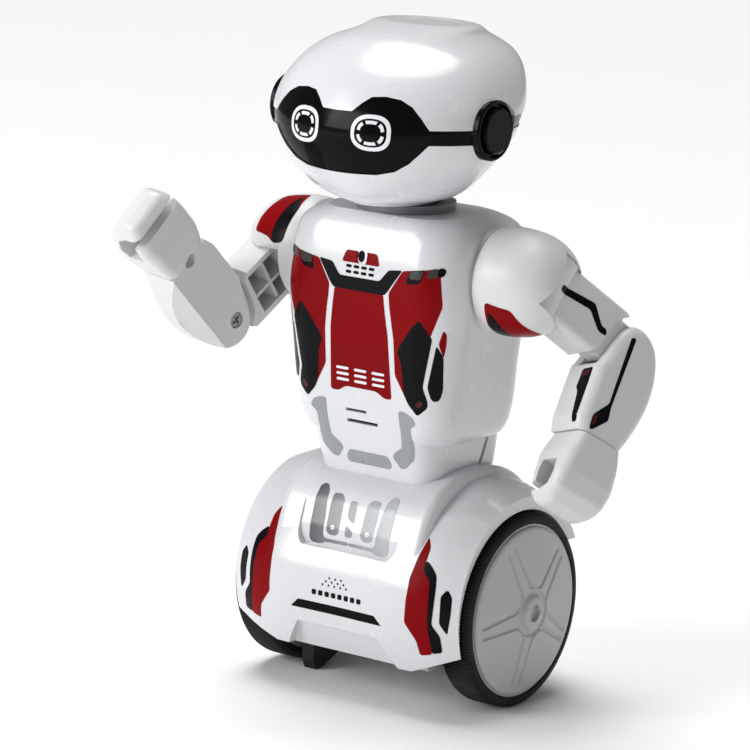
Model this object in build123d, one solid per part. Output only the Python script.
from build123d import *
import math
import os

os.makedirs("parts", exist_ok=True)

# ---------------------------------------------------------------- driving dimensions (mm)
# Frame: origin on the floor midway between the wheels, under the axle.
# +Z up, -Y is the robot's front, +X is the robot's left.
TYRE_R = 30.0
AXLE_Z = TYRE_R
AXLE_R = 1.5
RUN = 0.06                      # radial running clearance of a turning fit
SEAT_R = 26.6                   # tyre seat on the rim
TYRE_IN = 32.5
TYRE_OUT = 44.4
DISC_EDGE_R = 25.9
DISC_EDGE_X = 44.9
HUB_X = 48.4
WELL_R = 30.8                   # inner radius of the fender arch
WELL_X = 31.0                   # outer face of the wheel-well wall
CAVITY_X = 29.4                 # inner face of the wheel-well wall
BARREL_Y = 1.2                  # centre of the barrel-shaped base
BARREL_Z = 32.0
BARREL_R = 37.1
FENDER_X = 42.0
BASE_BOTTOM = 13.5
WALL = 2.0
SPLIT_Y = 15.0                  # front and rear base shells meet here

MODULE = 0.6
PINION_T = 12
IDLER_T = 30
FINAL_T = 34
FINAL_IDLER = MODULE * (FINAL_T + PINION_T) / 2
IDLER_MOTOR = MODULE * (IDLER_T + PINION_T) / 2
IDLER_ANGLE = 160.0             # from the axle to the idler, in the Y-Z plane
MOTOR_ANGLE = 100.0             # from the idler to the motor

NECK_Y = -8.4
NECK_R = 15.1
TORSO_TOP = 149.0
SEAM_Y = -1.0                   # torso seam passes this Y at SEAM_Z
SEAM_Z = 84.0
SEAM_SLOPE = 0.155

SHOULDER_Y = -4.0
SHOULDER_Z = 131.0
PIVOT_X = 47.4                  # raise axis of the upper arm
CAP_X = 33.2                    # inner rim of the shoulder cap
UPPER_L = 33.2                  # shoulder pivot to elbow
FORE_L = 31.3                   # elbow to wrist
ARM_W = 18.5
ARM_T = 11.5
ARM_CLEAR = 9.1                 # the thick part of the upper arm stops this far from the elbow
FORE_OUT = 7.7                  # outer and inner faces of the forearm from its middle
FORE_IN = -7.1
FRONT_TOP = -10.0               # the forearm's front wall starts this far below the elbow
SEAM_HAND = -17.7
LEFT_POSE = (48.0, 25.0, 83.0)      # swing to the rear, raise, elbow bend
RIGHT_POSE = (-52.5, 9.0, 80.0)

CELL_R = 7.15
CELL_L = 49.2

# half width, half depth, centre Y of the head at each height
HEAD = [
    (152.0, 11.6, 16.9, -13.7),
    (154.0, 17.4, 19.6, -15.8),
    (157.0, 23.8, 21.9, -17.6),
    (163.0, 30.7, 25.4, -18.4),
    (170.0, 36.4, 28.5, -17.9),
    (177.0, 39.3, 30.8, -16.1),
    (183.0, 39.6, 31.3, -13.7),
    (189.0, 37.7, 30.8, -10.8),
    (194.5, 34.0, 28.8, -7.6),
    (199.0, 27.9, 25.3, -5.0),
    (202.5, 19.4, 19.4, -3.4),
    (204.6, 7.1, 9.9, -2.6),
]
# height, half width, front Y, rear Y, corner radius of the chest
CHEST = [
    (80.0, 24.6, -22.6, 15.0, 9.0),
    (82.5, 27.4, -24.6, 16.6, 10.0),
    (86.0, 28.6, -25.8, 17.6, 10.5),
    (98.0, 30.2, -28.0, 18.4, 11.5),
    (111.0, 31.4, -29.6, 19.2, 12.5),
    (124.0, 32.4, -30.8, 20.4, 13.0),
    (136.0, 32.2, -30.2, 20.6, 13.5),
    (142.5, 31.5, -28.8, 19.0, 13.5),
    (146.5, 28.8, -27.0, 16.0, 13.2),
    (149.0, 23.4, -24.6, 10.5, 12.5),
]
ABDOMEN = [
    (60.0, 20.4, -18.6, 17.0, 7.0),
    (70.0, 21.9, -21.0, 17.8, 7.5),
    (81.0, 23.1, -24.3, 18.2, 8.0),
    (92.0, 24.2, -27.0, 18.4, 9.0),
]


# ---------------------------------------------------------------- helpers
def block(x0, x1, y0, y1, z0, z1):
    """Axis-aligned block between two corners."""
    centre = Pos((x0 + x1) / 2, (y0 + y1) / 2, (z0 + z1) / 2)
    return centre * Box(abs(x1 - x0), abs(y1 - y0), abs(z1 - z0))


def rod_x(r, x0, x1, y=0.0, z=AXLE_Z):
    """Cylinder along X."""
    return Pos((x0 + x1) / 2, y, z) * Rot(0, 90, 0) * Cylinder(r, abs(x1 - x0))


def rod_y(r, y0, y1, x=0.0, z=0.0):
    """Cylinder along Y."""
    return Pos(x, (y0 + y1) / 2, z) * Rot(90, 0, 0) * Cylinder(r, abs(y1 - y0))


def rod_z(r, z0, z1, x=0.0, y=0.0):
    """Cylinder along Z."""
    return Pos(x, y, (z0 + z1) / 2) * Cylinder(r, abs(z1 - z0))


def prism_x(points, x0, x1):
    """Polygon of (y, z) points drawn out along X."""
    face = Polyline(*[(x0, y, z) for y, z in points], close=True)
    return extrude(make_face(face), (x1 - x0), dir=(1, 0, 0))


def prism_y(points, y0, y1):
    """Polygon of (x, z) points drawn out along Y."""
    face = Polyline(*[(x, y0, z) for x, z in points], close=True)
    return extrude(make_face(face), (y1 - y0), dir=(0, 1, 0))


def spline_x(points, x0, x1):
    """Smooth closed (y, z) outline drawn out along X."""
    edge = Spline(*[(x0, y, z) for y, z in points], periodic=True)
    return extrude(make_face(edge), (x1 - x0), dir=(1, 0, 0))


def turned_x(points, y=0.0, z=AXLE_Z):
    """Closed (x, r) outline turned about an X axis through (y, z)."""
    face = make_face(Polyline(*[(x, y, z + r) for x, r in points], close=True))
    return revolve(face, Axis((0, y, z), (1, 0, 0)))


def mirrored(shape):
    """The other side's copy of a left-hand shape."""
    return mirror(shape, about=Plane.YZ)


def turned_about(shape):
    """Copy turned half a turn about the vertical centre line."""
    return Rot(0, 0, 180) * shape


def softened(shape, edges, radius):
    """Fillet, easing the radius if the edges are too short for it."""
    for trial in (radius, radius * 0.6, radius * 0.3):
        try:
            return fillet(edges, trial)
        except Exception:
            continue
    return shape


def section_stack(rows, inset=0.0):
    """Loft through rounded rectangles (height, half width, front, rear, corner)."""
    faces = []
    for z, half, front, rear, corner in rows:
        wide = 2 * (half - inset)
        deep = rear - front - 2 * inset
        place = Pos(0, (front + rear) / 2, z)
        faces.append(place * RectangleRounded(wide, deep, max(corner - inset, 2.0)))
    return loft(faces)


def head_stack(inset=0.0):
    """Loft through the head's ellipses, optionally offset inwards."""
    faces = []
    for z, half, deep, y in HEAD:
        drop = inset * (178.0 - z) / 26.5
        faces.append(Pos(0, y, z + drop) * Ellipse(half - inset * 0.9, deep - inset * 0.9))
    return loft(faces)


def biggest(shape):
    """The largest solid of a shape."""
    return max(shape.solids(), key=lambda s: s.volume)


def save(shape, name):
    solids = shape.solids() if hasattr(shape, "solids") else [shape]
    body = solids[0] if len(solids) == 1 else Compound(children=list(solids))
    body.label = name
    export_step(body, "parts/" + name + ".step")


# ---------------------------------------------------------------- gears
def tooth_half_angle(teeth, radius, thin):
    """Half the tooth's angle at a radius, for a 20 degree involute."""
    pitch_r = MODULE * teeth / 2
    base_r = pitch_r * math.cos(math.radians(20))
    half = math.pi / (2 * teeth) - thin / (2 * pitch_r)
    inv_pitch = math.tan(math.radians(20)) - math.radians(20)
    if radius <= base_r:
        return half + inv_pitch
    a = math.acos(base_r / radius)
    return half + inv_pitch - (math.tan(a) - a)


def gear_face(teeth, tip_add, phase):
    """Gear outline in its own plane, one tooth centred on the phase angle."""
    pitch_r = MODULE * teeth / 2
    base_r = pitch_r * math.cos(math.radians(20))
    root_r = pitch_r - 1.25 * MODULE
    tip_r = pitch_r + tip_add * MODULE
    low = max(base_r, root_r)
    radii = [root_r] + [low + (tip_r - low) * i / 4 for i in range(5)]
    points = []
    for n in range(teeth):
        mid = math.radians(phase) + 2 * math.pi * n / teeth
        for r in radii:
            a = mid - tooth_half_angle(teeth, r, 0.10)
            points.append((r * math.cos(a), r * math.sin(a)))
        for r in reversed(radii):
            a = mid + tooth_half_angle(teeth, r, 0.10)
            points.append((r * math.cos(a), r * math.sin(a)))
    tidy = [points[0]]
    for p in points[1:]:
        if math.dist(p, tidy[-1]) > 0.01:
            tidy.append(p)
    return make_face(Polyline(*tidy, close=True))


def gear_x(teeth, tip_add, phase, x0, x1, y, z):
    """Spur gear on an X axis; the phase is measured from +Y towards +Z."""
    flat = gear_face(teeth, tip_add, phase)
    plane = Plane(origin=(x0, y, z), x_dir=(0, 1, 0), z_dir=(1, 0, 0))
    return extrude(plane * flat, x1 - x0)


def idler_centre():
    a = math.radians(IDLER_ANGLE)
    return FINAL_IDLER * math.cos(a), AXLE_Z + FINAL_IDLER * math.sin(a)


def motor_centre():
    y, z = idler_centre()
    a = math.radians(MOTOR_ANGLE)
    return y + IDLER_MOTOR * math.cos(a), z + IDLER_MOTOR * math.sin(a)


def final_gear():
    body = gear_x(FINAL_T, 0.75, IDLER_ANGLE, 21.8, 24.8, 0, AXLE_Z)
    return body + rod_x(3.4, 24.8, 28.6) - rod_x(AXLE_R, 20, 30)


def idler_gear():
    y, z = idler_centre()
    big = gear_x(IDLER_T, 0.75, MOTOR_ANGLE, 17.2, 20.2, y, z)
    gap = 180.0 / PINION_T
    small = gear_x(PINION_T, 1.0, IDLER_ANGLE + 180 + gap, 20.2, 25.4, y, z)
    return big + small - rod_x(1.0 + RUN, 16, 27, y, z)


def motor_pinion():
    y, z = motor_centre()
    gap = 180.0 / PINION_T
    teeth = gear_x(PINION_T, 1.0, MOTOR_ANGLE + 180 + gap, 17.0, 20.6, y, z)
    return teeth + rod_x(1.0, 1.0, 20.6, y, z)


# ---------------------------------------------------------------- drive
def drive_motor():
    y, z = motor_centre()
    can = rod_x(10.0, -10.4, 14.4, y, z) & block(-11, 15, y - 7.5, y + 7.5, z - 11, z + 11)
    nose = rod_x(3.0, 14.4, 15.8, y, z)
    tail = rod_x(3.2, -12.0, -10.4, y, z)
    return can + nose + tail - rod_x(1.0 + RUN, 0.6, 16, y, z)


def hull_x(c1, r1, c2, r2, x0, x1):
    """Two round ends joined by straight sides, drawn out along X."""
    rings = []
    for (y, z), r in ((c1, r1), (c2, r2)):
        plane = Plane(origin=(x0, y, z), x_dir=(0, 1, 0), z_dir=(1, 0, 0))
        rings.append((plane * CenterArc((0, 0), r, 0, 360)).edge())
    gap = math.hypot(c2[0] - c1[0], c2[1] - c1[1])
    tilt = math.atan2(c2[1] - c1[1], c2[0] - c1[0])
    lean = math.acos((r1 - r2) / gap)
    corners = []
    for c, r, sign in ((c1, r1, 1), (c2, r2, 1), (c2, r2, -1), (c1, r1, -1)):
        a = tilt + sign * lean
        corners.append((c[0] + r * math.cos(a), c[1] + r * math.sin(a)))
    body = prism_x(corners, x0, x1)
    for (y, z), r in ((c1, r1), (c2, r2)):
        body = body + rod_x(r, x0, x1, y, z)
    return body


def gear_case():
    axle = (0.0, AXLE_Z)
    idler = idler_centre()
    motor = motor_centre()
    shell = hull_x(axle, 12.9, idler, 11.6, 14.7, CAVITY_X)
    shell = shell + hull_x(idler, 11.6, motor, 6.6, 14.7, CAVITY_X)
    room = hull_x(axle, 11.4, idler, 10.1, 16.3, 30)
    room = room + hull_x(idler, 10.1, motor, 5.1, 16.3, 30)
    case = shell - room
    case = case + rod_x(2.6, 16.3, 17.0, *idler)
    case = case - rod_x(AXLE_R + RUN, 14, 17) - rod_x(1.0, 14, 18, *idler)
    return case - rod_x(3.1, 14, 17, *motor)


def gear_pin():
    return rod_x(1.0, 14.7, 29.3, *idler_centre())


def axle_rod():
    return rod_x(AXLE_R, 14.9, 46.4)


def wheel_rim():
    ring = turned_x([(33.2, 24.6), (43.8, 24.6), (43.8, SEAT_R), (33.2, SEAT_R)])
    web = turned_x([(37.4, 4.0), (39.0, 4.0), (39.0, 25.0), (37.4, 25.0)])
    hub = turned_x([(32.6, AXLE_R), (44.4, AXLE_R), (44.4, 4.6), (32.6, 4.6)])
    spokes = [Rot(0, 0, 0) * block(34.2, 37.4, -0.8, 0.8, AXLE_Z + 4, AXLE_Z + 25)]
    ribs = spokes[0]
    for n in range(1, 6):
        ribs = ribs + spokes[0].rotate(Axis((0, 0, AXLE_Z), (1, 0, 0)), 60 * n)
    return ring + web + hub + ribs


def tyre():
    outline = [
        (TYRE_IN, SEAT_R),
        (TYRE_IN, TYRE_R - 1.2),
        (TYRE_IN + 0.9, TYRE_R),
        (TYRE_OUT - 0.9, TYRE_R),
        (TYRE_OUT, TYRE_R - 1.2),
        (TYRE_OUT, DISC_EDGE_R + 0.15),
        (43.8, DISC_EDGE_R + 0.15),
        (43.8, SEAT_R),
    ]
    return turned_x(outline)


def wheel_disc():
    """Shallow cone cover with five raised double-groove spokes and a hub ring."""
    outline = [
        (43.8, DISC_EDGE_R),
        (DISC_EDGE_X, DISC_EDGE_R),
        (DISC_EDGE_X + 0.5, DISC_EDGE_R - 0.9),
        (47.6, 5.6),
        (HUB_X, 5.0),
        (HUB_X, 2.7),
        (47.0, 2.7),
        (47.0, AXLE_R + 0.1),
        (44.4, AXLE_R + 0.1),
        (44.4, 4.4),
        (46.0, 5.2),
        (43.8, DISC_EDGE_R - 1.6),
    ]
    disc = turned_x(outline)
    slope = math.degrees(math.atan2(2.2, 19.4))
    bar = Pos(46.55, 0, AXLE_Z + 15.2) * Rot(0, -slope, 0) * Box(0.7, 3.4, 14.0)
    for n in range(5):
        angle = 72 * n + 14
        turn = Axis((0, 0, AXLE_Z), (1, 0, 0))
        disc = disc + bar.rotate(turn, angle)
        for side in (-2.3, 2.3):
            groove = Pos(46.75, side, AXLE_Z + 15.4) * Rot(0, -slope, 0)
            cut = groove * Box(0.9, 1.0, 13.0)
            disc = disc - cut.rotate(turn, angle)
    return disc


# ---------------------------------------------------------------- base
def barrel(shrink=0.0, reach=FENDER_X):
    """Barrel-shaped base, widest across the middle and tapering to the fenders."""
    profile = [(0, BARREL_R), (26, BARREL_R), (33, 35.9), (38, 34.2), (FENDER_X, 32.6)]
    top = [(x, BARREL_Y, BARREL_Z + r - shrink) for x, r in profile]
    edge = Spline(*top, tangents=((1, 0, 0), (1, 0, -0.42)))
    end = (FENDER_X, BARREL_Y, BARREL_Z)
    lines = [
        edge,
        Line(top[-1], end),
        Line(end, (0, BARREL_Y, BARREL_Z)),
        Line((0, BARREL_Y, BARREL_Z), top[0]),
    ]
    half = revolve(make_face(lines), Axis((0, BARREL_Y, BARREL_Z), (1, 0, 0)))
    if reach < FENDER_X:
        half = half & block(-1, reach, -60, 60, -20, 90)
    return half + mirrored(half)


SADDLE = [(-33.4, 41), (-31.6, 50), (-28.4, 59), (-22.0, 66.6), (-11, 70.6),
          (1, 71.3), (13, 69.4), (23.5, 63.6), (31, 55), (35.0, 45)]


def saddle(shrink=0.0, half=27.2):
    """Hump over the base that carries the torso and fades into the front panel."""
    rows = []
    for y, z in SADDLE:
        away = math.hypot(y, z - AXLE_Z)
        rows.append((y * (1 - shrink / away), AXLE_Z + (z - AXLE_Z) * (1 - shrink / away)))
    curve = Spline(*[(-half, y, z) for y, z in rows])
    close = Polyline(curve @ 1, (-half, 20, 30), (-half, -20, 30), curve @ 0)
    body = extrude(make_face([curve, close]), 2 * half, dir=(1, 0, 0))
    if shrink > 0:
        return body
    rims = [e for e in body.edges() if abs(abs(e.center().X) - half) < 0.01 and e.length > 60]
    return softened(body, rims, 2.6)


def base_solid():
    """Outside of the whole base before it is hollowed and split."""
    body = barrel() + saddle()
    panel = [(-60, 46), (-31.0, 46), (-30.5, 52), (-27.3, 62), (-20.5, 69), (-20.5, 90), (-60, 90)]
    recess = prism_x(panel, -18.5, 18.5)
    window = Pos(0, -30, 65) * Rot(90, 0, 0) * RectangleRounded(37, 40, 6)
    recess = recess & extrude(window, 30, both=True)
    chin = prism_x([(-60, 5), (-28.0, 5), (-28.0, 13), (-33.9, 22.5), (-60, 22.5)], -40, 40)
    chin = chin & prism_y([(-15, 22.5), (15, 22.5), (26, 5), (-26, 5)], -60, -20)
    return body - recess - chin


def wheel_well(side):
    low = min(side * WELL_X, side * 60)
    high = max(side * WELL_X, side * 60)
    return rod_x(WELL_R, low, high)


def base_cavity():
    room = barrel(WALL, CAVITY_X) + saddle(WALL, 25.0)
    room = room & block(-CAVITY_X, CAVITY_X, -60, 60, BASE_BOTTOM - 3, 90)
    front_block = prism_x([(-60, 8), (-25.6, 8), (-31.6, 24), (-60, 24)], -40, 40)
    backing = [(-60, 43), (-28.8, 43), (-28.5, 52), (-25.3, 62), (-18.5, 70), (-18.5, 90), (-60, 90)]
    return room - front_block - prism_x(backing, -20.5, 20.5)


def base_trim():
    """Everything that is cut away under the shell and behind the fenders."""
    under = block(-60, 60, -60, 60, -10, BASE_BOTTOM)
    ramp = [(25.4, BASE_BOTTOM - 1), (25.4, BASE_BOTTOM), (45, 21.5), (45, BASE_BOTTOM - 1)]
    left = prism_y(ramp, -60, 0)
    rear = block(WELL_X, 60, 0, 60, -10, 47)
    rear = rear + block(WELL_X, 60, -12, 1, -10, 21)
    return under + left + mirrored(left) + rear + mirrored(rear)


def axle_hole():
    return rod_x(AXLE_R + RUN, -40, 40)


def floor_posts():
    """Screw posts of the base shells, each tied to the outer wall by a rib."""
    posts = []
    for x in (-22, 22):
        for y, wall in ((-19, -40), (23, 40)):
            post = rod_z(3.2, BASE_BOTTOM + 2, 22.0, x, y)
            posts.append(post + block(x - 1, x + 1, y, wall, BASE_BOTTOM + 2, 22.0))
    return posts


def base_shell(cavity):
    body = base_solid() - wheel_well(1) - wheel_well(-1) - cavity
    for post in floor_posts():
        body = body + (post & cavity)
    for x in (-22, 22):
        for y in (-19, 23):
            body = body - rod_z(1.3, 10, 21.6, x, y)
    body = body - base_trim() - axle_hole()
    return body - motion_window_room()


def motion_window_room():
    outline = [(-14.3, 29.6), (14.3, 29.6), (17.1, 26.8), (-17.1, 26.8)]
    return prism_y(outline, -60, -25)


def motion_window():
    """Black lens strip of the motion sensor, set into the front of the base."""
    skin = barrel(0.25) - barrel(1.9)
    return biggest(skin & motion_window_room())


def base_front_shell(shell):
    return biggest(shell & block(-60, 60, -60, SPLIT_Y, -5, 100))


def base_rear_shell(shell):
    return biggest(shell & block(-60, 60, SPLIT_Y, 60, -5, 100))


def base_floor(cavity):
    plate = block(-CAVITY_X, CAVITY_X, -60, 60, BASE_BOTTOM, BASE_BOTTOM + 2) & cavity
    for x in (-22, 22):
        for y in (-19, 23):
            plate = plate - rod_z(1.3, BASE_BOTTOM - 1, BASE_BOTTOM + 3, x, y)
            plate = plate - rod_z(2.4, BASE_BOTTOM - 1, BASE_BOTTOM + 1.2, x, y)
    return plate


def front_skid():
    """Black foot under the base, beside the right gear case."""
    outline = [(-13.6, BASE_BOTTOM), (-13.0, 3.0), (-11.8, 0.0), (-8.4, 0.0), (3.0, 4.6),
               (7.0, BASE_BOTTOM)]
    return prism_x(outline, -29.0, -24.6)


def roller_bracket():
    ear = prism_x([(19, BASE_BOTTOM), (22.4, 3.6), (27.6, 3.6), (31, BASE_BOTTOM)], 4.5, 6.3)
    ears = ear + mirrored(ear)
    bridge = block(-6.3, 6.3, 19, 31, 11.6, BASE_BOTTOM)
    return ears + bridge - rod_x(AXLE_R + RUN, -8, 8, 25, 5.0)


def rear_roller():
    wheel = turned_x([(-4.1, 0), (-4.1, 4.2), (-3.3, 5.0), (3.3, 5.0), (4.1, 4.2), (4.1, 0)], 25, 5.0)
    return wheel + rod_x(AXLE_R, -6.2, 6.2, 25, 5.0)


# ---------------------------------------------------------------- torso
def seam_plane():
    return Plane(origin=(0, SEAM_Y, SEAM_Z), x_dir=(1, 0, 0), z_dir=(0, 1, -SEAM_SLOPE))


def shoulder_boss():
    """Round pad on the torso's side, behind the shoulder cap."""
    return softened_rim(rod_x(15.6, 24, CAP_X - 0.5, SHOULDER_Y, SHOULDER_Z - 0.6), 1.5)


def softened_rim(body, radius):
    outer = body.faces().sort_by(Axis.X)[-1]
    return softened(body, outer.edges(), radius)


def torso_solid():
    body = section_stack(CHEST) + section_stack(ABDOMEN)
    boss = shoulder_boss()
    return body + boss + mirrored(boss)


def torso_cavity():
    chest = [row for row in CHEST if 81 < row[0] < 147]
    inner = section_stack(chest, WALL)
    belly = [(58.0, 20.2, -18.0, 17.0, 7.0)] + ABDOMEN[1:]
    return inner + section_stack(belly, WALL)


def speaker_slits():
    cut = block(-6.2, 1.4, -40, -20, 88.0, 88.9)
    return cut + block(-6.2, 5.2, -40, -20, 84.4, 85.5)


def side_slots():
    slot = Pos(0, 6.2, 75.2) * Rot(-16, 0, 0) * Box(80, 1.5, 8.6)
    return slot & block(-80, 80, -20, 30, 60, 81)


def battery_door_room(gap):
    return block(-16.4 - gap, 16.4 + gap, 8, 60, 88.5 - gap, 134.5 + gap)


SCREW_SPOTS = [(-22.0, 92.0), (22.0, 92.0), (-23.0, 118.0), (23.0, 118.0)]


def board_posts():
    """Posts of the chest shell that carry the main board."""
    posts = [rod_y(1.9, -40, -21.4, x, z) for x in (-17, 17) for z in (101, 127)]
    return Compound(children=posts)


def torso_shell(base):
    cavity = torso_cavity()
    body = torso_solid() - cavity - base
    body = body + (board_posts() & cavity)
    body = body - rod_z(10.5, 140, 155, 0, NECK_Y)
    body = body - rod_x(4.0 + RUN, -40, 40, SHOULDER_Y, SHOULDER_Z)
    body = body - speaker_slits() - side_slots()
    body = body - chest_sensor_room() - battery_door_room(0.2)
    return body - switch_room()


def torso_halves(base):
    shell = torso_shell(base)
    front = biggest(split(shell, bisect_by=seam_plane(), keep=Keep.BOTTOM))
    rear = biggest(split(shell, bisect_by=seam_plane(), keep=Keep.TOP))
    for x, z in SCREW_SPOTS:
        rear = rear - rod_y(1.3, 8, 40, x, z) - rod_y(2.5, 12, 40, x, z)
    return front, rear


def body_screws():
    """Self-tapping screws of the torso's rear shell and of the base floor."""
    screws = []
    for x, z in SCREW_SPOTS:
        screws.append(rod_y(1.2, 4.0, 10.4, x, z) + rod_y(2.2, 10.2, 11.8, x, z))
    for x in (-22, 22):
        for y in (-19, 23):
            shank = rod_z(1.2, BASE_BOTTOM + 1.2, 21.0, x, y)
            screws.append(shank + rod_z(2.2, BASE_BOTTOM, BASE_BOTTOM + 1.2, x, y))
    return screws


def chest_sensor_room():
    return Pos(0, -26, 136.4) * Rot(90, 0, 0) * extrude(Ellipse(1.25, 1.75), 9, both=True)


def chest_sensor():
    """Obstacle sensor's dark lens in the chest."""
    lens = Pos(0, -26, 136.4) * Rot(90, 0, 0) * extrude(Ellipse(1.2, 1.7), 4.2)
    tube = block(-3.4, 3.4, -26.0, -22.0, 132.4, 140.4)
    return lens + tube


def battery_door(solid):
    skin = solid - torso_cavity()
    return biggest(skin & battery_door_room(0.0) & block(-20, 20, 10, 60, 80, 140))


def battery_holder():
    box = block(-16.2, 16.2, -16.4, 15.6, 84.6, 137.0)
    for x in (-7.8, 7.8):
        for y in (-8.0, 7.6):
            box = box - rod_z(CELL_R + 0.2, 86.2, 135.6, x, y)
    box = box - block(-14, 14, 9.5, 20, 87.5, 134.5)
    box = box - block(-14, 14, -20, -10, 87.5, 134.5)
    for x in (-26, 18):
        box = box + (block(x, x + 8, -16.4, 60, 134.5, 137.0) & torso_cavity())
    return box + block(-18, 18, 8, 15.6, 135.8, 137.0)


def battery_cells():
    cells = []
    for x in (-7.8, 7.8):
        for y in (-8.0, 7.6):
            can = rod_z(CELL_R, 86.2, 86.2 + CELL_L - 1.2, x, y)
            cells.append(can + rod_z(2.7, 134.2, 135.4, x, y))
    return cells


def speaker():
    """Small loudspeaker behind the slits in the belly."""
    cone = rod_y(9.0, -19.9, -17.6, 0, 84.6)
    return cone + rod_y(5.5, -17.6, -16.4, 0, 84.6)


def main_board():
    board = block(-21, 21, -21.4, -19.8, 98, 130)
    for x0, x1, z0, z1 in ((-8, 2, 106, 116), (6, 14, 102, 108), (-14, -9, 120, 127)):
        board = board + block(x0, x1, -23.2, -21.4, z0, z1)
    return board


def switch_room():
    return block(-4.2, 4.2, 12, 30, 74.6, 77.6)


def power_switch():
    """Sliding switch knob in the rear of the belly, shown switched off."""
    knob = block(-3.9, -0.1, 15.8, 18.9, 74.9, 77.3)
    return knob + block(-5.6, 1.6, 14.8, 15.8, 73.6, 78.6)


# ---------------------------------------------------------------- neck and head
def neck_collar():
    ring = rod_z(NECK_R, TORSO_TOP, 151.6, 0, NECK_Y)
    spigot = rod_z(10.4, 143.5, TORSO_TOP, 0, NECK_Y)
    tube = rod_z(6.5, 143.5, 158.4, 0, NECK_Y)
    return ring + spigot + tube - rod_z(4.2, 140, 160, 0, NECK_Y)


def neck_retainer():
    return rod_z(9.4, 155.4, 157.4, 0, NECK_Y) - rod_z(6.5, 150, 160, 0, NECK_Y)


def visor_room():
    """Outline of the dark visor with two eye lobes, a notch and side bands."""
    left = [(0, 163.2), (6, 163.3), (12.5, 163.6), (18, 165.0), (22.4, 167.8), (25.6, 171.0),
            (27.9, 173.6), (50, 174.0), (50, 178.5), (28, 178.0), (25.6, 181.2),
            (22.4, 184.4), (18.8, 186.2), (14.2, 186.8), (10.2, 186.4), (7.6, 184.4),
            (5.2, 181.9), (0, 181.8)]
    right = [(-x, z) for x, z in reversed(left[1:-1])]
    return prism_y(left + right, -70, -16.0)


def rear_band_room():
    return block(-60, 60, -16.0, 60, 177.6, 181.6)


EAR_Y = -18.9
EAR_Z = 177.6
EAR_R = 9.0


def ear_room(r):
    return rod_x(r, -60, -34.4, EAR_Y, EAR_Z) + rod_x(r, 34.4, 60, EAR_Y, EAR_Z)


def head_shells():
    skin = head_stack() - head_stack(2.0)
    boss = rod_z(10.6, 152.0, 155.1, 0, NECK_Y) & head_stack()
    skin = skin + boss - rod_z(6.5 + RUN, 145, 160, 0, NECK_Y)
    skin = skin - visor_room() - rear_band_room() - ear_room(EAR_R)
    parts = sorted(skin.solids(), key=lambda s: s.volume)[-2:]
    low, high = sorted(parts, key=lambda s: s.center().Z)
    return high, low


def visor():
    skin = head_stack(0.45) - head_stack(2.0)
    return biggest((skin & visor_room()) - ear_room(EAR_R))


def rear_band():
    skin = head_stack(0.45) - head_stack(2.0)
    return biggest((skin & rear_band_room()) - ear_room(EAR_R))


def ear():
    """Ear inset in the head's side: a dished ring around a fluted knob."""
    y, z = EAR_Y, EAR_Z
    dish = turned_x([(34.5, 0), (34.5, EAR_R), (38.0, EAR_R), (38.5, 8.6), (38.5, 8.1),
                     (37.2, 7.7), (37.2, 0)], y, z)
    knob = turned_x([(37.2, 0), (37.2, 7.1), (39.2, 6.9), (39.7, 6.3), (39.7, 0)], y, z)
    for n in range(12):
        flute = rod_x(0.7, 37.4, 43, y, z + 7.3)
        knob = knob - flute.rotate(Axis((0, y, z), (1, 0, 0)), 30 * n)
    return dish + knob


def light_board():
    """Eye lamp board behind the visor."""
    board = block(-21, 21, -37.6, -36.2, 170.0, 182.5)
    room = head_stack(2.0)
    for x in (-12.2, 12.2):
        board = board + (rod_y(2.4, -60, -37.6, x, 176.4) & room)
    return board


# ---------------------------------------------------------------- arms
# Left arm, hanging straight down: X outwards, -Y forwards, -Z along the arm.
def cap_profile():
    return [(CAP_X, 15.8), (36.0, 16.3), (41.0, 16.2), (46.0, 15.5), (50.0, 14.1),
            (53.5, 11.8), (56.0, 8.8), (57.2, 5.6)]


def shoulder_cap():
    """Domed cap, open below, with two cheeks around the upper arm and a stub shaft."""
    rows = [(x - PIVOT_X, 0, r) for x, r in cap_profile()]
    edge = Spline(*rows)
    tip = (57.3 - PIVOT_X, 0, 0)
    base = (CAP_X - PIVOT_X, 0, 0)
    lines = [edge, Line(rows[-1], tip), Line(tip, base), Line(base, rows[0])]
    dome = revolve(make_face(lines), Axis((0, 0, 0), (1, 0, 0)))
    wide = ARM_W / 2 + 0.35
    slot = block(-7.4, 20, -wide, wide, -30, 0) + rod_y(7.9, -wide, wide)
    slot = slot + block(4.4, 20, -wide, wide, -1, 6.2)
    mouth = block(-8.6, 30, -30, 30, -30, -11.4)
    cap = dome - slot - mouth
    shaft = rod_x(4.0, 27.2 - PIVOT_X, CAP_X - PIVOT_X, 0, 0)
    return cap + shaft - rod_y(AXLE_R, -11.2, 11.2)


def shoulder_hardware():
    """Steel pin through the cap's cheeks and the clip that holds the shaft."""
    pin = rod_y(AXLE_R, -11.2, 11.2)
    clip = rod_x(6.6, 27.4 - PIVOT_X, 28.6 - PIVOT_X, 0, 0)
    clip = clip - rod_x(4.0, -30, 0, 0, 0)
    return [pin, clip]


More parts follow.
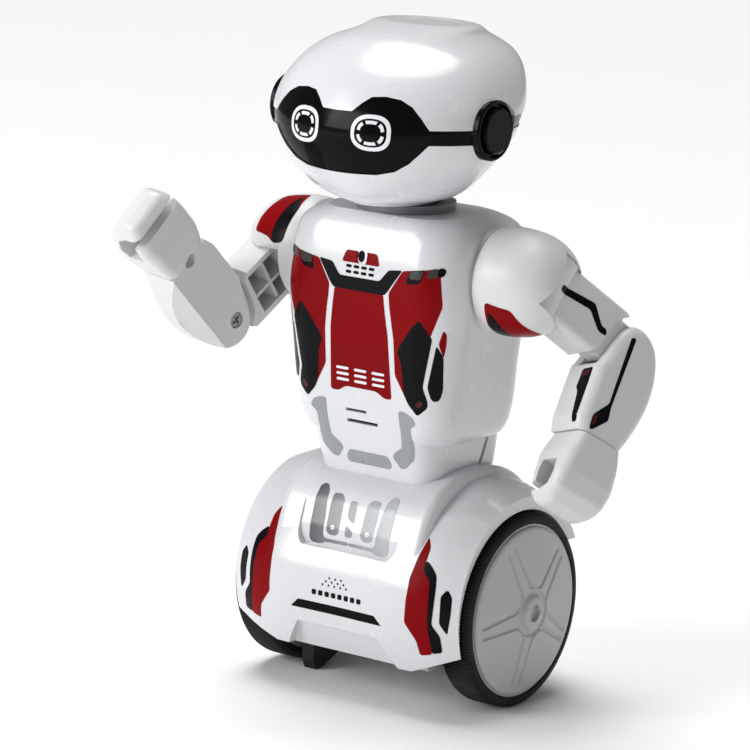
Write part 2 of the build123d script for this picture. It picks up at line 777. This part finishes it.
def upper_arm():
    """Flat beam with a round root, ribbed pocket on its inner side and a tongue."""
    half_w, half_t = ARM_W / 2, ARM_T / 2
    root = rod_y(7.5, -half_w, half_w)
    beam = block(-half_t, half_t, -half_w, half_w, -31.5, 0)
    beam = beam - prism_x([(-12, -21.7), (-half_w, -21.7), (-6.5, -23.6), (0, -24.1), (0, -34),
                           (-12, -34)], -8, 8)
    beam = beam - rod_x(ARM_CLEAR, -8, 8, 0, -UPPER_L)
    beam = beam - prism_x([(half_w + 1, -26.6), (half_w, -26.6), (7.0, -29.4), (half_w + 1, -34)], -8, 8)
    face = beam.faces().sort_by(Axis.X)[-1]
    long_edges = [e for e in face.edges() if e.length > 18]
    beam = softened(beam, long_edges, 2.2)
    body = root + beam
    pocket = block(-10, half_t - 2.2, -half_w + 1.8, half_w - 1.8, -22.2, -8.4)
    ribs = block(-half_t + 0.6, half_t - 2.2, 0.6, 1.6, -22.2, -8.4)
    ribs = ribs + block(-half_t + 0.6, half_t - 2.2, -half_w + 1.8, half_w - 1.8, -15.6, -14.6)
    body = body - pocket + ribs
    tongue = block(-3.1, 4.6, -8.2, 8.2, -UPPER_L + 6.0, -23.0)
    tongue = tongue + block(-3.1, 4.6, -5.6, 5.6, -UPPER_L + 1.0, -23.0)
    tongue = tongue + rod_x(6.2, -3.1, 4.6, 0, -UPPER_L)
    body = body + tongue
    body = body - rod_x(1.3 + RUN, -10, 10, 0, -UPPER_L)
    return body - rod_y(AXLE_R + RUN, -20, 20)


FORE_ROUND = [(-8.6, -8.4), (-7.4, -4.6), (-5.6, 0.8), (-3.0, 5.2), (0.6, 6.9), (4.6, 6.2),
              (8.6, 3.2), (11.4, -2.4), (12.7, -9.5), (12.4, -17.0), (10.6, -25.0),
              (8.4, -FORE_L)]


def forearm_solid():
    """Forearm seen from the side: flat front wall, round elbow, full back."""
    top = Spline(*[(FORE_IN, y, z) for y, z in FORE_ROUND])
    front = Polyline((FORE_IN, 8.4, -FORE_L), (FORE_IN, -8.2, -FORE_L), (FORE_IN, -9.4, -27.0),
                     (FORE_IN, -9.4, FRONT_TOP), (FORE_IN, -8.6, -8.4))
    body = extrude(make_face([top, front]), FORE_OUT - FORE_IN, dir=(1, 0, 0))
    outer = [e for e in body.edges() if e.center().X > FORE_OUT - 0.01 and e.center().Z > -30]
    body = softened(body, outer, 3.4)
    bevel = Pos(FORE_IN, 11.2, -15) * Rot(0, 0, 33) * Box(12, 4.4, 60)
    return body - bevel


def forearm_halves():
    body = forearm_solid()
    hollow = block(-4.8, 5.4, -7.2, 9.6, -28.8, -13.6)
    hollow = hollow & spline_x([(-7.2, -13), (-7.2, -29), (6.0, -29), (9.2, -20), (10.0, -13)], -5, 6)
    throat = block(-3.4, 4.9, -30, 30, FRONT_TOP, 20)
    throat = throat & (rod_x(10.4, -4, 6, 0, 0) + block(-4, 6, -30, -3, FRONT_TOP, 20))
    body = body - hollow - throat
    body = body - rod_x(1.3 + RUN, -5.2, 6.0, 0, 0) - rod_x(2.6, -9, -5.2, 0, 0)
    body = body - rod_z(3.0 + RUN, -40, -26.2) - rod_z(4.3, -28.0, -26.2)
    notch = rod_x(2.4, -9, -5.0, 0, -FORE_L)
    outer = biggest(body & block(0, 20, -30, 30, -50, 20))
    inner = biggest((body - notch) & block(-20, 0, -30, 30, -50, 20))
    return outer, inner


def elbow_screw():
    shank = rod_x(1.3, -5.2, 5.9, 0, 0)
    head = rod_x(2.3, -6.7, -5.2, 0, 0)
    cross = block(-8, -6.1, -0.35, 0.35, -1.5, 1.5) + block(-8, -6.1, -1.5, 1.5, -0.35, 0.35)
    return shank + head - cross


def hand_solid():
    """Fist-like gripper: the outer wall curls over the tip towards the palm jaw."""
    outline = [(8.2, -0.35), (9.0, -5), (9.0, -13), (7.6, -18.8), (4.0, -22.8), (-0.6, -24.2),
               (-4.6, -23.4), (-6.6, -20.4), (-7.4, -14), (-8.7, -9), (-8.7, -4), (-7.8, -0.35)]
    body = prism_y(outline, -10.4, 10.4)
    plan = [(-7.6, -0.35), (-9.4, -7), (-10.2, -14), (-9.6, -20), (-6.6, -24.6), (6.6, -24.6),
            (9.6, -20), (10.2, -14), (9.6, -7), (8.4, -0.35)]
    body = body & prism_x(plan, -12, 12)
    lower = [e for e in body.edges() if e.center().Z < -2.0]
    body = softened(body, lower, 3.2)
    grip = [(-3.2, -10.4), (3.4, -10.4), (4.6, -14.6), (3.0, -18.6), (-0.6, -20.2), (-2.6, -20.2),
            (-12, -20.9), (-12, -18.0), (-3.4, -17.4)]
    body = body - prism_y(grip, -20, 20)
    lips = [e for e in body.edges() if e.center().X < -5.6 and -21.5 < e.center().Z < -16.5]
    body = softened(body, lips, 1.3)
    peg = rod_z(3.0, -0.35, 3.4) + rod_z(4.2, 3.4, 4.9)
    return body + peg - rod_x(2.4, -12, -5.0, 0, 0)


def hand_halves():
    body = hand_solid()
    palm = biggest(body & block(-20, 20, -20, 20, SEAM_HAND, 20))
    finger = biggest(body & block(-20, 20, -20, 20, -40, SEAM_HAND))
    return palm, finger


def arm_frames(side, pose):
    """Placements of the cap, upper arm, forearm and hand of one side."""
    swing, raised, bend = pose
    cap = Pos(side * PIVOT_X, SHOULDER_Y, SHOULDER_Z) * Rot(swing, 0, 0)
    upper = cap * Rot(0, -side * raised, 0)
    fore = upper * Pos(0, 0, -UPPER_L) * Rot(-bend, 0, 0)
    hand = fore * Pos(0, 0, -FORE_L)
    return cap, upper, fore, hand


def save_arm(side, pose, word):
    cap, upper, fore, hand = arm_frames(side, pose)
    flip = mirrored if side < 0 else (lambda shape: shape)
    outer, inner = forearm_halves()
    palm, finger = hand_halves()
    hardware = [cap * flip(piece) for piece in shoulder_hardware()]
    save(cap * flip(shoulder_cap()), "shoulder_cap_" + word)
    save(Compound(children=hardware), "shoulder_hardware_" + word)
    save(upper * flip(upper_arm()), "upper_arm_" + word)
    save(fore * flip(outer), "forearm_outer_" + word)
    save(fore * flip(inner), "forearm_inner_" + word)
    save(fore * flip(elbow_screw()), "elbow_screw_" + word)
    save(hand * flip(palm), "hand_palm_" + word)
    save(hand * flip(finger), "hand_finger_" + word)


# ---------------------------------------------------------------- build
def save_drive():
    save(gear_case(), "gear_case_left")
    save(turned_about(gear_case()), "gear_case_right")
    pair = [drive_motor(), turned_about(drive_motor())]
    save(Compound(children=pair), "drive_motors")
    save(Compound(children=[gear_pin(), turned_about(gear_pin())]), "gear_pins")
    for word, place in (("left", lambda s: s), ("right", turned_about)):
        save(place(motor_pinion()), "motor_pinion_" + word)
        save(place(idler_gear()), "idler_gear_" + word)
        save(place(final_gear()), "final_gear_" + word)
        save(place(axle_rod()), "axle_" + word)
        save(place(wheel_rim()), "wheel_rim_" + word)
        save(place(tyre()), "tyre_" + word)
        save(place(wheel_disc()), "wheel_disc_" + word)


def save_base():
    cavity = base_cavity()
    shell = base_shell(cavity)
    save(base_front_shell(shell), "base_front_shell")
    save(base_rear_shell(shell), "base_rear_shell")
    save(base_floor(cavity), "base_floor")
    save(motion_window(), "motion_window")
    save(front_skid(), "front_skid")
    save(roller_bracket(), "roller_bracket")
    save(rear_roller(), "rear_roller")


def save_torso():
    front, rear = torso_halves(base_solid())
    save(front, "torso_front")
    save(rear, "torso_rear")
    save(Compound(children=body_screws()), "body_screws")
    save(battery_door(torso_solid()), "battery_door")
    save(battery_holder(), "battery_holder")
    save(Compound(children=battery_cells()), "battery_cells")
    save(speaker(), "speaker")
    save(main_board(), "main_board")
    save(chest_sensor(), "chest_sensor")
    save(power_switch(), "power_switch")


def save_head():
    upper, lower = head_shells()
    save(upper, "head_upper")
    save(lower, "head_lower")
    save(visor(), "visor")
    save(rear_band(), "rear_band")
    save(ear(), "ear_left")
    save(mirrored(ear()), "ear_right")
    save(light_board(), "light_board")
    save(neck_collar(), "neck_collar")
    save(neck_retainer(), "neck_retainer")


save_drive()
save_base()
save_torso()
save_head()
save_arm(1, LEFT_POSE, "left")
save_arm(-1, RIGHT_POSE, "right")
